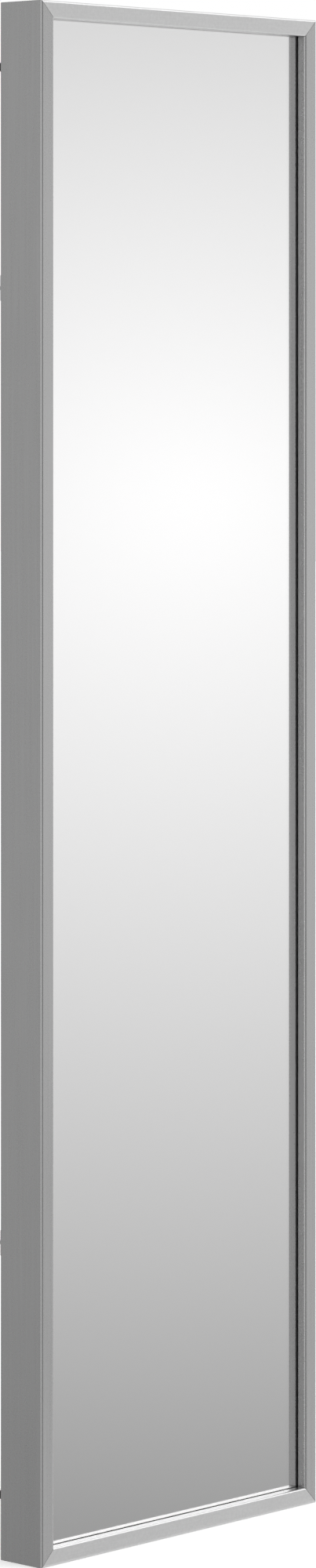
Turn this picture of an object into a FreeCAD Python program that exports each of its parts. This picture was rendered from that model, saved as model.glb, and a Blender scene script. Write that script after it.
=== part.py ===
"""Full length dressing mirror: a deep mitred metal frame around a glass pane, with its back hardware.

Millimetres. +Z is up, the mirror looks towards -Y and X runs across it.
The origin is under the middle of the whole mirror, level with the underside of its bottom rail.

Pieces on a rail are drawn in that rail's side frame: x runs inward from the rail's outer face,
y runs back from the rail's front face, and z runs along the rail from its first mitred corner.
"""

import FreeCAD, Part
import math
import os

import Sketcher

Vector = FreeCAD.Vector
Placement = FreeCAD.Placement
Rotation = FreeCAD.Rotation
Y_AXIS = Vector(0, 1, 0)
ZERO = "zero"
# Two coordinates that differ by less than this share are the same one
ROUNDING = 1e-6

# Driving sizes, each written once
SIZES = {
    # whole mirror
    "mirror_height": 1500,
    "mirror_width": 400,
    "frame_depth": 55,
    # rail profile
    "face_width": 17,
    "wall": 1.8,
    "edge_radius": 2,
    "rear_edge_cut": 0.6,
    "lip_depth": 9.5,
    "front_slot_width": 5.2,
    "rib_reach": 4.7,
    "rear_width": 14,
    "channel_depth": 4.4,
    "slot_width": 6,
    "cut_overrun": 3,
    # glass and what backs it
    "glass_gap": 1.7,
    "glass_thickness": 3,
    "glass_arris": 0.4,
    "silver_thickness": 0.3,
    "board_gap": 0.8,
    "board_thickness": 3,
    "tape_thickness": 0.6,
    "tape_setback": 0.3,
    "block_length": 60,
    "block_inset": 70,
    # spring clips between backing board and rib
    "clip_height": 5.5,
    "clip_width": 8,
    "clip_strip": 0.5,
    "clip_foot": 6,
    "clip_slope": 18,
    "clip_belly": 12,
    "clip_clearance": 0.5,
    "side_clip_inset": 130,
    "cross_clip_inset": 95,
    "side_clip_count": 5,
    "cross_clip_count": 2,
    # corner keys and the set screws of the rear ones
    "key_arm": 40,
    "key_clearance": 0.3,
    "front_key_thickness": 3,
    "rear_key_thickness": 2.5,
    "key_corner_cut": 1.5,
    "key_screw_place": 29,
    "set_screw_radius": 2,
    "set_screw_recess": 1.1,
    "thread_clearance": 0.05,
    # bars across the back
    "bar_width": 30,
    "bar_thickness": 2,
    "bar_recess": 10,
    "bar_end_gap": 1.5,
    "bar_leg_gap": 1,
    "bar_bend": 1.5,
    "bar_corner_cut": 3,
    "hanging_bar_drop": 260,
    "stiffener_bar_rise": 290,
    "bar_screw_radius": 2.5,
    "bar_screw_head_radius": 4.6,
    "bar_screw_head_height": 2.6,
    "bar_screw_head_sides": 6,
    "bar_screw_end_gap": 1,
    "screw_hole_clearance": 0.25,
    "nut_length": 14,
    "nut_thickness": 2.5,
    "nut_clearance": 0.4,
    # hangers and their rings
    "hanger_offset": 105,
    "strap_width": 12,
    "strap_thickness": 1,
    "strap_length": 15,
    "strap_corner_radius": 4.5,
    "eye_inset": 4.5,
    "hanger_screw_radius": 1.7,
    "hanger_screw_head_radius": 3.3,
    "hanger_screw_head_height": 1.6,
    "hanger_screw_length": 6,
    "ring_wire_radius": 1.2,
    "ring_clearance": 0.08,
    "ring_side_gap": 0.7,
    "ring_corner_cut": 2,
    "ring_wire_sides": 12,
    "hook_room": 5.5,
    # rubber wall bumpers
    "bumper_radius": 6,
    "bumper_height": 5,
    "bumper_key_gap": 22,
    "stem_clearance": 0.2,
    "stem_end_gap": 1.2,
}

# Sizes and places that follow from the driving ones
PLACES = {
    "left_x": "-sizes.mirror_width / 2",
    "right_x": "sizes.mirror_width / 2",
    "front_y": "-(sizes.frame_depth + sizes.bumper_height) / 2",
    # glass pack, measured back from the frame's face
    "glass_front": "sizes.lip_depth + sizes.tape_thickness",
    "silver_front": "places.glass_front + sizes.glass_thickness",
    "board_front": "places.silver_front + sizes.silver_thickness",
    "board_back": "places.board_front + sizes.board_thickness",
    "glass_edge": "sizes.wall + sizes.glass_gap",
    "glass_left": "places.left_x + places.glass_edge",
    "glass_width": "sizes.mirror_width - 2 * places.glass_edge",
    "glass_height": "sizes.mirror_height - 2 * places.glass_edge",
    "glass_y": "places.front_y + places.glass_front",
    "silver_y": "places.front_y + places.silver_front",
    "board_edge": "places.glass_edge + sizes.board_gap",
    "board_left": "places.left_x + places.board_edge",
    "board_width": "sizes.mirror_width - 2 * places.board_edge",
    "board_height": "sizes.mirror_height - places.glass_edge - places.board_edge",
    "board_y": "places.front_y + places.board_front",
    # rail profile
    "face_inside": "sizes.face_width - sizes.wall",
    "flange_front": "sizes.lip_depth - sizes.wall",
    "flange_edge": "sizes.wall + sizes.front_slot_width",
    "rib_front": "places.board_back + sizes.clip_height",
    "rib_back": "places.rib_front + sizes.wall",
    "rib_edge": "sizes.wall + sizes.rib_reach",
    "rear_lip_front": "sizes.frame_depth - sizes.wall",
    "channel_front": "places.rear_lip_front - sizes.channel_depth",
    "channel_floor": "places.channel_front - sizes.wall",
    "rear_inside": "sizes.rear_width - sizes.wall",
    "slot_start": "(sizes.rear_width - sizes.slot_width) / 2",
    "slot_end": "places.slot_start + sizes.slot_width",
    "slot_middle": "sizes.rear_width / 2",
    "mitre_reach": "sizes.face_width + sizes.cut_overrun",
    "side_mitre_foot": "sizes.mirror_height - places.mitre_reach",
    "end_mitre_foot": "sizes.mirror_width - places.mitre_reach",
    # glazing tape and setting blocks
    "tape_outer": "places.flange_edge + sizes.tape_setback",
    "tape_inner": "sizes.face_width - sizes.tape_setback",
    "side_tape_length": "sizes.mirror_height - 2 * places.tape_outer",
    "end_tape_length": "sizes.mirror_width - 2 * places.tape_inner",
    "far_block": "sizes.mirror_width - sizes.block_inset - sizes.block_length",
    # spring clip
    "clip_front_of_foot": "sizes.clip_height - sizes.clip_strip",
    "clip_belly_start": "sizes.clip_foot + sizes.clip_slope",
    "clip_belly_end": "places.clip_belly_start + sizes.clip_belly",
    "clip_far_foot": "places.clip_belly_end + sizes.clip_slope",
    "clip_length": "places.clip_far_foot + sizes.clip_foot",
    # corner keys
    "key_edge": "sizes.wall + sizes.key_clearance",
    "front_key_inner": "places.face_inside - sizes.key_clearance",
    "rear_key_inner": "places.rear_inside - sizes.key_clearance",
    "front_key_y": "places.front_y + places.flange_front - sizes.front_key_thickness",
    "rear_key_y": "places.front_y + places.rear_lip_front - sizes.rear_key_thickness",
    "key_hole_radius": "sizes.set_screw_radius + sizes.thread_clearance",
    "set_screw_length": "sizes.channel_depth + sizes.wall - sizes.set_screw_recess",
    # bars across the back
    "bar_span": "sizes.mirror_width - 2 * sizes.bar_end_gap",
    "bar_leg": "sizes.rear_width + sizes.bar_leg_gap - sizes.bar_end_gap",
    "bar_leg_inside": "places.bar_leg + sizes.bar_thickness",
    "bar_far_leg": "places.bar_span - places.bar_leg",
    "bar_far_leg_inside": "places.bar_far_leg - sizes.bar_thickness",
    "bar_back": "sizes.bar_recess + sizes.bar_thickness",
    "bar_outer_bend": "sizes.bar_bend + sizes.bar_thickness",
    "bar_left": "places.left_x + sizes.bar_end_gap",
    "bar_y": "places.front_y + sizes.frame_depth - sizes.bar_recess",
    "hanging_bar_z": "sizes.mirror_height - sizes.hanging_bar_drop - sizes.bar_width",
    "bar_hole": "places.slot_middle - sizes.bar_end_gap",
    "bar_far_hole": "places.bar_span - places.bar_hole",
    "bar_middle": "sizes.bar_width / 2",
    "bar_hole_radius": "sizes.bar_screw_radius + sizes.screw_hole_clearance",
    "bar_screw_length": "sizes.bar_thickness + sizes.wall + sizes.channel_depth - sizes.bar_screw_end_gap",
    "nut_width": "places.rear_inside - sizes.wall - 2 * sizes.nut_clearance",
    "nut_middle_x": "places.nut_width / 2",
    "nut_middle_z": "sizes.nut_length / 2",
    "nut_hole_radius": "sizes.bar_screw_radius + sizes.thread_clearance",
    # hanger straps, measured up from the strap's round end and back from the bar
    "eye_inner": "sizes.ring_wire_radius + sizes.ring_clearance",
    "eye_outer": "places.eye_inner + sizes.strap_thickness",
    "eye_foot": "sizes.strap_length - sqrt(places.eye_outer ^ 2 - places.eye_inner ^ 2)",
    "strap_middle": "sizes.strap_width / 2",
    "strap_hole_radius": "sizes.hanger_screw_radius + sizes.screw_hole_clearance",
    "strap_y": "places.bar_y + sizes.bar_thickness",
    "eye_y": "places.strap_y + places.eye_outer",
    "eye_z": "places.hanging_bar_z + sizes.bar_width - sizes.eye_inset",
    "strap_z": "places.eye_z - sizes.strap_length",
    "left_strap_x": "-sizes.hanger_offset - places.strap_middle",
    "right_strap_x": "sizes.hanger_offset - places.strap_middle",
    "left_hanger_hole": "places.bar_span / 2 - sizes.hanger_offset",
    "right_hanger_hole": "places.bar_span / 2 + sizes.hanger_offset",
    "hanger_hole_rise": "places.strap_z + places.strap_middle - places.hanging_bar_z",
    "hanger_pilot_radius": "sizes.hanger_screw_radius + sizes.thread_clearance",
    # hanger rings, measured up from the wire's lowest point and along from its outer side
    "ring_half_width": "places.strap_middle + sizes.ring_side_gap + sizes.ring_corner_cut",
    "ring_width": "2 * places.ring_half_width",
    "ring_top": "sizes.strap_length + sizes.hook_room + sizes.ring_wire_radius",
    "ring_shoulder": "places.ring_top - sizes.ring_corner_cut",
    "ring_far_corner": "places.ring_width - sizes.ring_corner_cut",
    "ring_z": "places.eye_z - places.ring_top",
    "left_ring_x": "-sizes.hanger_offset - places.ring_half_width",
    "right_ring_x": "sizes.hanger_offset - places.ring_half_width",
    # rubber bumpers, measured back from the stem's tip
    "stem_radius": "sizes.slot_width / 2 - sizes.stem_clearance",
    "stem_length": "sizes.wall + sizes.channel_depth - sizes.stem_end_gap",
    "bumper_top": "places.stem_length + sizes.bumper_height",
    "bumper_y": "places.front_y + sizes.frame_depth - places.stem_length",
    "bumper_place": "sizes.key_arm + sizes.bumper_key_gap",
    "bumper_left": "places.left_x + places.slot_middle",
    "bumper_right": "places.right_x - places.slot_middle",
    "upper_bumper_z": "sizes.mirror_height - places.bumper_place",
}

# Each rail's side frame: the names of its corner's place and of its length
SIDES = {
    "left": ("left_x", ZERO, "mirror_height"),
    "top": ("left_x", "mirror_height", "mirror_width"),
    "right": ("right_x", "mirror_height", "mirror_height"),
    "bottom": ("right_x", ZERO, "mirror_width"),
}
# How far each side frame is turned about Y
TURN_DEGREES = {"left": 0, "top": 90, "right": 180, "bottom": -90}
# The corner at which each side frame starts
CORNERS = {"bottom_left": "left", "top_left": "top", "top_right": "right", "bottom_right": "bottom"}

# The extrusion's outline, from its outer front edge round to its outer rear edge
RAIL_PROFILE = [
    (ZERO, ZERO),
    ("face_width", ZERO),
    ("face_width", "lip_depth"),
    ("flange_edge", "lip_depth"),
    ("flange_edge", "flange_front"),
    ("face_inside", "flange_front"),
    ("face_inside", "wall"),
    ("wall", "wall"),
    ("wall", "rib_front"),
    ("rib_edge", "rib_front"),
    ("rib_edge", "rib_back"),
    ("wall", "rib_back"),
    ("wall", "channel_floor"),
    ("rear_width", "channel_floor"),
    ("rear_width", "frame_depth"),
    ("slot_end", "frame_depth"),
    ("slot_end", "rear_lip_front"),
    ("rear_inside", "rear_lip_front"),
    ("rear_inside", "channel_front"),
    ("wall", "channel_front"),
    ("wall", "rear_lip_front"),
    ("slot_start", "rear_lip_front"),
    ("slot_start", "frame_depth"),
    (ZERO, "frame_depth"),
]

doc = FreeCAD.newDocument("dressing_mirror")
sizes = doc.addObject("Spreadsheet::Sheet", "sizes")
places = doc.addObject("App::VarSet", "places")
nodes = []


# Sizes and placements
def fill_sizes():
    """Put the driving sizes in the sheet and the sizes that follow from them in the variable set."""
    for row, (name, value) in enumerate(SIZES.items(), start=1):
        sizes.set(f"A{row}", str(value))
        sizes.setAlias(f"A{row}", name)
    doc.recompute()
    for name in PLACES:
        places.addProperty("App::PropertyFloat", name, "Places")
    for name, formula in PLACES.items():
        places.setExpression(name, formula)
    doc.recompute()


def number(name):
    """The value of a driving size or of one that follows from them."""
    if name == ZERO:
        return 0
    return float(getattr(places if name in PLACES else sizes, name))


def whole(name):
    """A count from the sheet."""
    return int(round(number(name)))


def bind(thing, path, name):
    """Tie a property or constraint to a named size."""
    owner = "places" if name in PLACES else "sizes"
    thing.setExpression(path, f"{owner}.{name}")


def place(thing, x, y, z, turn_degrees=0):
    """Put an object at named places, turned about the axis that runs through the mirror's thickness."""
    thing.Placement = Placement(Vector(), Rotation(Y_AXIS, turn_degrees))
    for letter, name in zip("xyz", (x, y, z)):
        if name != ZERO:
            bind(thing, f"Placement.Base.{letter}", name)


def place_on_side(thing, side, y="front_y"):
    """Put an object into a rail's side frame."""
    x, z, _length = SIDES[side]
    place(thing, x, y, z, TURN_DEGREES[side])


def side_frame(side):
    """A rail's side frame as a placement."""
    x, z, _length = SIDES[side]
    corner = Vector(number(x), number("front_y"), number(z))
    return Placement(corner, Rotation(Y_AXIS, TURN_DEGREES[side]))


# Sketches and features
def add_body(node, is_node=True):
    """A new body; one that is a node of its own is written out under its name."""
    body = doc.addObject("PartDesign::Body", node)
    body.Label = node
    if is_node:
        nodes.append(body)
    return body


def add_sketch(body, name, plane, rise=None):
    """A sketch on one of the body's origin planes, raised off it by a named size if one is given."""
    sketch = body.newObject("Sketcher::SketchObject", f"{body.Name}_{name}")
    support = next(item for item in body.Origin.OriginFeatures if item.Role == plane)
    sketch.AttachmentSupport = [(support, "")]
    sketch.MapMode = "FlatFace"
    if rise:
        bind(sketch, "AttachmentOffset.Base.z", rise)
    return sketch


def pin_point(sketch, geometry, vertex, x, y):
    """Hold a vertex at a named distance from each of the sketch's axes."""
    for kind, axis, name in (("DistanceX", -2, x), ("DistanceY", -1, y)):
        if name == ZERO:
            sketch.addConstraint(Sketcher.Constraint("PointOnObject", geometry, vertex, axis))
        else:
            rule = Sketcher.Constraint(kind, -1, 1, geometry, vertex, number(name))
            bind(sketch, f"Constraints[{sketch.addConstraint(rule)}]", name)


def arc_between(start, end, centre, turn):
    """An arc from start to end about centre; a turn of 1 runs anticlockwise and -1 clockwise."""
    first, last = (start, end) if turn > 0 else (end, start)
    circle = Part.Circle(centre, Vector(0, 0, 1), (start - centre).Length)
    angles = [math.atan2(point.y - centre.y, point.x - centre.x) for point in (first, last)]
    return Part.ArcOfCircle(circle, *angles)


def add_outline(sketch, corners, arcs=None):
    """Draw a closed outline through named corners.

    arcs maps the number of a round side to the names of its centre and to its turn.
    """
    arcs = arcs or {}
    points = [Vector(number(x), number(y), 0) for x, y in corners]
    first = sketch.GeometryCount
    starts = {}
    ends = {}
    for side, start in enumerate(points):
        end = points[(side + 1) % len(points)]
        geometry = first + side
        starts[side] = (geometry, 1)
        ends[side] = (geometry, 2)
        if side in arcs:
            centre_x, centre_y, turn = arcs[side]
            centre = Vector(number(centre_x), number(centre_y), 0)
            sketch.addGeometry(arc_between(start, end, centre, turn))
            rise = Sketcher.Constraint("DistanceY", -1, 1, geometry, 3, centre.y)
            bind(sketch, f"Constraints[{sketch.addConstraint(rise)}]", centre_y)
            if turn < 0:
                starts[side], ends[side] = ends[side], starts[side]
        else:
            sketch.addGeometry(Part.LineSegment(start, end))
    for side, (x, y) in enumerate(corners):
        following = (side + 1) % len(corners)
        sketch.addConstraint(Sketcher.Constraint("Coincident", *ends[side], *starts[following]))
        pin_point(sketch, *starts[side], x, y)


def add_rectangle(sketch, low, high):
    """Draw a rectangle between two named corners."""
    add_outline(sketch, [low, (high[0], low[1]), high, (low[0], high[1])])


def add_circle(sketch, x, y, radius):
    """Draw a circle at a named place."""
    circle = Part.Circle(Vector(number(x), number(y), 0), Vector(0, 0, 1), number(radius))
    geometry = sketch.addGeometry(circle)
    pin_point(sketch, geometry, 3, x, y)
    rule = sketch.addConstraint(Sketcher.Constraint("Radius", geometry, number(radius)))
    bind(sketch, f"Constraints[{rule}]", radius)


def add_regular_outline(sketch, radius, sides):
    """Draw a polygon of equal sides around the sketch's origin, its corners on a circle."""
    size = number(radius)
    rim = sketch.addGeometry(Part.Circle(Vector(), Vector(0, 0, 1), size), True)
    sketch.addConstraint(Sketcher.Constraint("Coincident", rim, 3, -1, 1))
    rule = sketch.addConstraint(Sketcher.Constraint("Radius", rim, size))
    bind(sketch, f"Constraints[{rule}]", radius)
    angles = [math.tau * corner / sides for corner in range(sides)]
    points = [Vector(size * math.cos(angle), size * math.sin(angle), 0) for angle in angles]
    first = sketch.GeometryCount
    for corner, start in enumerate(points):
        sketch.addGeometry(Part.LineSegment(start, points[(corner + 1) % sides]))
    sketch.addConstraint(Sketcher.Constraint("PointOnObject", first, 1, -1))
    for corner in range(sides):
        here = first + corner
        following = first + (corner + 1) % sides
        sketch.addConstraint(Sketcher.Constraint("Coincident", here, 2, following, 1))
        sketch.addConstraint(Sketcher.Constraint("PointOnObject", here, 1, rim))
        if corner:
            sketch.addConstraint(Sketcher.Constraint("Equal", first, here))


def add_pad(body, sketch, length, backward=False):
    """Extrude a sketch; on the XZ plane backward means towards the back of the mirror."""
    pad = body.newObject("PartDesign::Pad", f"{sketch.Name}_pad")
    pad.Profile = sketch
    pad.Reversed = backward
    bind(pad, "Length", length)
    doc.recompute()
    return pad


def add_through_cut(body, sketch):
    """Cut a sketch's outlines right through the body, both ways from the sketch."""
    pocket = body.newObject("PartDesign::Pocket", f"{sketch.Name}_cut")
    pocket.Profile = sketch
    pocket.Type = "ThroughAll"
    pocket.SideType = "Symmetric"
    doc.recompute()
    return pocket


def add_revolution(body, sketch):
    """Turn a sketch a full turn about its own upright axis."""
    turned = body.newObject("PartDesign::Revolution", f"{sketch.Name}_turned")
    turned.Profile = sketch
    turned.ReferenceAxis = (sketch, ["V_Axis"])
    doc.recompute()
    return turned


def is_near(here, there):
    """Whether two sets of coordinates name the same place."""
    return all(math.isclose(a, b, rel_tol=ROUNDING, abs_tol=ROUNDING) for a, b in zip(here, there))


def straight_edges(shape, axis, spots):
    """Names of the straight edges along an axis letter that pass through any of the named spots."""
    across = [letter for letter in "xyz" if letter != axis]
    targets = [tuple(number(name) for name in spot) for spot in spots]
    found = []
    for index, edge in enumerate(shape.Edges, start=1):
        if edge.Curve.TypeId != "Part::GeomLine":
            continue
        ends = [[getattr(vertex.Point, letter) for letter in across] for vertex in edge.Vertexes]
        if any(all(is_near(end, target) for end in ends) for target in targets):
            found.append(f"Edge{index}")
    return found


def dress_edges(body, kind, base, edges, name, size):
    """Fillet or chamfer edges of the base feature by a named size."""
    dressed = body.newObject(f"PartDesign::{kind}", f"{body.Name}_{name}")
    dressed.Base = (base, edges)
    bind(dressed, "Radius" if kind == "Fillet" else "Size", size)
    doc.recompute()
    return dressed


def add_group(node, pattern, spots):
    """One node of separate equal solids: copies of the pattern body at each of the placements."""
    group = doc.addObject("Part::Feature", node)
    group.Label = node
    copies = [pattern.Shape.transformed(spot.toMatrix(), True) for spot in spots]
    group.Shape = Part.makeCompound(copies)
    nodes.append(group)


# Frame
def make_rail(side):
    """One length of the extrusion with its rounded front edges, cut at 45 degrees at both ends."""
    _x, _z, length = SIDES[side]
    body = add_body(f"{side}_rail")
    profile = add_sketch(body, "profile", "XY_Plane")
    add_outline(profile, RAIL_PROFILE)
    bar = add_pad(body, profile, length)
    front = straight_edges(bar.Shape, "z", [(ZERO, ZERO), ("face_width", ZERO)])
    softened = dress_edges(body, "Fillet", bar, front, "front_edges", "edge_radius")
    rear_spots = [(ZERO, "frame_depth"), ("rear_width", "frame_depth")]
    rear = straight_edges(softened.Shape, "z", rear_spots)
    dress_edges(body, "Chamfer", softened, rear, "rear_edges", "rear_edge_cut")
    mitres = add_sketch(body, "mitres", "XZ_Plane")
    foot = "side_mitre_foot" if length == "mirror_height" else "end_mitre_foot"
    add_outline(mitres, [(ZERO, ZERO), ("mitre_reach", ZERO), ("mitre_reach", "mitre_reach")])
    add_outline(mitres, [(ZERO, length), ("mitre_reach", foot), ("mitre_reach", length)])
    add_through_cut(body, mitres)
    place_on_side(body, side)


def make_key_plate(node, inner, thickness):
    """An L shaped plate that lies in the channels of two mitred rails and ties them together."""
    body = add_body(node)
    outline = add_sketch(body, "outline", "XZ_Plane")
    add_outline(outline, [
        ("key_edge", "key_edge"),
        ("key_arm", "key_edge"),
        ("key_arm", inner),
        (inner, inner),
        (inner, "key_arm"),
        ("key_edge", "key_arm"),
    ])
    plate = add_pad(body, outline, thickness, backward=True)
    ends = [("key_arm", "key_edge"), ("key_arm", inner), (inner, "key_arm"), ("key_edge", "key_arm")]
    spots = straight_edges(plate.Shape, "y", ends)
    dress_edges(body, "Chamfer", plate, spots, "corners", "key_corner_cut")
    return body


def make_corner_keys(corner):
    """A corner's plain key in the front channel and its screwed key in the rear channel."""
    side = CORNERS[corner]
    front = make_key_plate(f"{corner}_front_corner_key", "front_key_inner", "front_key_thickness")
    place_on_side(front, side, "front_key_y")
    rear = make_key_plate(f"{corner}_rear_corner_key", "rear_key_inner", "rear_key_thickness")
    holes = add_sketch(rear, "holes", "XZ_Plane")
    add_circle(holes, "slot_middle", "key_screw_place", "key_hole_radius")
    add_circle(holes, "key_screw_place", "slot_middle", "key_hole_radius")
    add_through_cut(rear, holes)
    place_on_side(rear, side, "rear_key_y")


def make_set_screws():
    """The grub screws that clamp the rear keys, each with its tip on the channel's floor."""
    pattern = add_body("set_screw_pattern", is_node=False)
    profile = add_sketch(pattern, "profile", "XY_Plane")
    add_rectangle(profile, (ZERO, ZERO), ("set_screw_radius", "set_screw_length"))
    add_revolution(pattern, profile)
    line = number("slot_middle")
    along = number("key_screw_place")
    floor = number("channel_front")
    spots = []
    for side in SIDES:
        for x, z in ((line, along), (along, line)):
            spots.append(side_frame(side) * Placement(Vector(x, floor, z), Rotation()))
    add_group("rear_key_set_screws", pattern, spots)


# Glass and what holds it
def make_sheet(node, outline_of, thickness, y, arris=None):
    """A flat upright sheet that stands on the setting blocks, with its edges eased if asked."""
    body = add_body(node)
    outline = add_sketch(body, "outline", "XZ_Plane")
    add_rectangle(outline, (ZERO, ZERO), (f"{outline_of}_width", f"{outline_of}_height"))
    sheet = add_pad(body, outline, thickness, backward=True)
    if arris:
        rims = [f"Edge{index}" for index in range(1, len(sheet.Shape.Edges) + 1)]
        dress_edges(body, "Chamfer", sheet, rims, "arris", arris)
    place(body, f"{outline_of}_left", y, "glass_edge")


def make_side_strip(node, side, low, high, start, length):
    """A strip of constant section that lies along one rail, drawn in that rail's side frame."""
    body = add_body(node)
    section = add_sketch(body, "section", "XY_Plane", rise=start)
    add_rectangle(section, low, high)
    add_pad(body, section, length)
    place_on_side(body, side)


def make_glazing_tapes():
    """Black tape between the front flange and the glass; the end strips butt against the side ones."""
    low = ("tape_outer", "lip_depth")
    high = ("tape_inner", "glass_front")
    for side in ("left", "right"):
        make_side_strip(f"{side}_glazing_tape", side, low, high, "tape_outer", "side_tape_length")
    for side in ("top", "bottom"):
        make_side_strip(f"{side}_glazing_tape", side, low, high, "tape_inner", "end_tape_length")


def make_setting_blocks():
    """Two blocks on the bottom rail that carry the glass and the backing board."""
    low = ("wall", "glass_front")
    high = ("glass_edge", "board_back")
    for node, start in (("right_setting_block", "block_inset"), ("left_setting_block", "far_block")):
        make_side_strip(node, "bottom", low, high, start, "block_length")


def make_board_clips():
    """Bowed spring strips: the belly presses on the backing board, the feet press on the rail's rib."""
    pattern = add_body("board_clip_pattern", is_node=False)
    section = add_sketch(pattern, "section", "YZ_Plane")
    add_outline(section, [
        ("clip_height", ZERO),
        ("clip_height", "clip_foot"),
        ("clip_strip", "clip_belly_start"),
        ("clip_strip", "clip_belly_end"),
        ("clip_height", "clip_far_foot"),
        ("clip_height", "clip_length"),
        ("clip_front_of_foot", "clip_length"),
        ("clip_front_of_foot", "clip_far_foot"),
        (ZERO, "clip_belly_end"),
        (ZERO, "clip_belly_start"),
        ("clip_front_of_foot", "clip_foot"),
        ("clip_front_of_foot", ZERO),
    ])
    add_pad(pattern, section, "clip_width")
    for side, (_x, _z, length) in SIDES.items():
        kind = "cross" if side in ("top", "bottom") else "side"
        count = whole(f"{kind}_clip_count")
        inset = number(f"{kind}_clip_inset")
        pitch = (number(length) - 2 * inset) / max(count - 1, 1)
        x = number("wall") + number("clip_clearance")
        y = number("board_back")
        first = inset - number("clip_length") / 2
        spots = [
            side_frame(side) * Placement(Vector(x, y, first + index * pitch), Rotation())
            for index in range(count)
        ]
        add_group(f"{side}_board_clips", pattern, spots)


# Bars across the back
def make_bar(node, z, hanger_holes):
    """A flat strip across the back with joggled ends that are screwed to the side rails' channels."""
    body = add_body(node)
    section = add_sketch(body, "section", "XY_Plane")
    add_outline(section, [
        (ZERO, "bar_recess"),
        ("bar_leg", "bar_recess"),
        ("bar_leg", ZERO),
        ("bar_far_leg", ZERO),
        ("bar_far_leg", "bar_recess"),
        ("bar_span", "bar_recess"),
        ("bar_span", "bar_back"),
        ("bar_far_leg_inside", "bar_back"),
        ("bar_far_leg_inside", "bar_thickness"),
        ("bar_leg_inside", "bar_thickness"),
        ("bar_leg_inside", "bar_back"),
        (ZERO, "bar_back"),
    ])
    strip = add_pad(body, section, "bar_width")
    inner_spots = [
        ("bar_leg", "bar_recess"),
        ("bar_far_leg", "bar_recess"),
        ("bar_leg_inside", "bar_thickness"),
        ("bar_far_leg_inside", "bar_thickness"),
    ]
    inner = straight_edges(strip.Shape, "z", inner_spots)
    bent = dress_edges(body, "Fillet", strip, inner, "inner_bends", "bar_bend")
    outer_spots = [
        ("bar_leg", ZERO),
        ("bar_far_leg", ZERO),
        ("bar_leg_inside", "bar_back"),
        ("bar_far_leg_inside", "bar_back"),
    ]
    outer = straight_edges(bent.Shape, "z", outer_spots)
    bent = dress_edges(body, "Fillet", bent, outer, "outer_bends", "bar_outer_bend")
    corner_spots = [(x, z) for x in (ZERO, "bar_span") for z in (ZERO, "bar_width")]
    corners = straight_edges(bent.Shape, "y", corner_spots)
    dress_edges(body, "Chamfer", bent, corners, "corners", "bar_corner_cut")
    holes = add_sketch(body, "holes", "XZ_Plane")
    for x in ("bar_hole", "bar_far_hole"):
        add_circle(holes, x, "bar_middle", "bar_hole_radius")
    if hanger_holes:
        for x in ("left_hanger_hole", "right_hanger_hole"):
            add_circle(holes, x, "hanger_hole_rise", "hanger_pilot_radius")
    add_through_cut(body, holes)
    place(body, "bar_left", "bar_y", z)


def make_screw(kind, head_sides=None):
    """A screw along Y that is measured from under its head, which is round unless it has sides."""
    pattern = add_body(f"{kind}_screw_pattern", is_node=False)
    shank = add_sketch(pattern, "shank", "XZ_Plane")
    add_circle(shank, ZERO, ZERO, f"{kind}_screw_radius")
    add_pad(pattern, shank, f"{kind}_screw_length")
    head = add_sketch(pattern, "head", "XZ_Plane")
    if head_sides:
        add_regular_outline(head, f"{kind}_screw_head_radius", whole(head_sides))
    else:
        add_circle(head, ZERO, ZERO, f"{kind}_screw_head_radius")
    add_pad(pattern, head, f"{kind}_screw_head_height", backward=True)
    return pattern


def bar_fixing_places(y):
    """Placements at the holes in both bars' ends, at a given distance back from the frame's face."""
    inset = number("slot_middle")
    rises = [number(bar_z) + number("bar_middle") for bar_z in ("hanging_bar_z", "stiffener_bar_rise")]
    spots = []
    for z in rises:
        for x in (number("left_x") + inset, number("right_x") - inset):
            spots.append(Placement(Vector(x, number("front_y") + y, z), Rotation()))
    return spots


def make_bar_fixings():
    """The screws that hold both bars, and the nuts that they pull up against the channels' lips."""
    screw = make_screw("bar", head_sides="bar_screw_head_sides")
    add_group("bar_screws", screw, bar_fixing_places(number("frame_depth") + number("bar_thickness")))
    nut = add_body("channel_nut_pattern", is_node=False)
    outline = add_sketch(nut, "outline", "XZ_Plane")
    add_rectangle(outline, (ZERO, ZERO), ("nut_width", "nut_length"))
    add_circle(outline, "nut_middle_x", "nut_middle_z", "nut_hole_radius")
    add_pad(nut, outline, "nut_thickness", backward=True)
    centred = Placement(Vector(-number("nut_middle_x"), 0, -number("nut_middle_z")), Rotation())
    seat = number("rear_lip_front") - number("nut_thickness")
    add_group("bar_channel_nuts", nut, [spot * centred for spot in bar_fixing_places(seat)])


# Hangers
def make_hanger_strap(side):
    """A strap folded round the ring's bar, with a round end and one screw hole."""
    body = add_body(f"{side}_hanger_strap")
    section = add_sketch(body, "section", "YZ_Plane")
    corners = [
        (ZERO, ZERO),
        (ZERO, "strap_length"),
        ("strap_thickness", "eye_foot"),
        ("strap_thickness", ZERO),
    ]
    add_outline(section, corners, arcs={1: ("eye_outer", "strap_length", -1)})
    add_circle(section, "eye_outer", "strap_length", "eye_inner")
    strip = add_pad(body, section, "strap_width")
    ends = straight_edges(strip.Shape, "y", [(ZERO, ZERO), ("strap_width", ZERO)])
    dress_edges(body, "Fillet", strip, ends, "round_end", "strap_corner_radius")
    hole = add_sketch(body, "hole", "XZ_Plane")
    add_circle(hole, "strap_middle", "strap_middle", "strap_hole_radius")
    add_through_cut(body, hole)
    place(body, f"{side}_strap_x", "strap_y", "strap_z")


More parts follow.
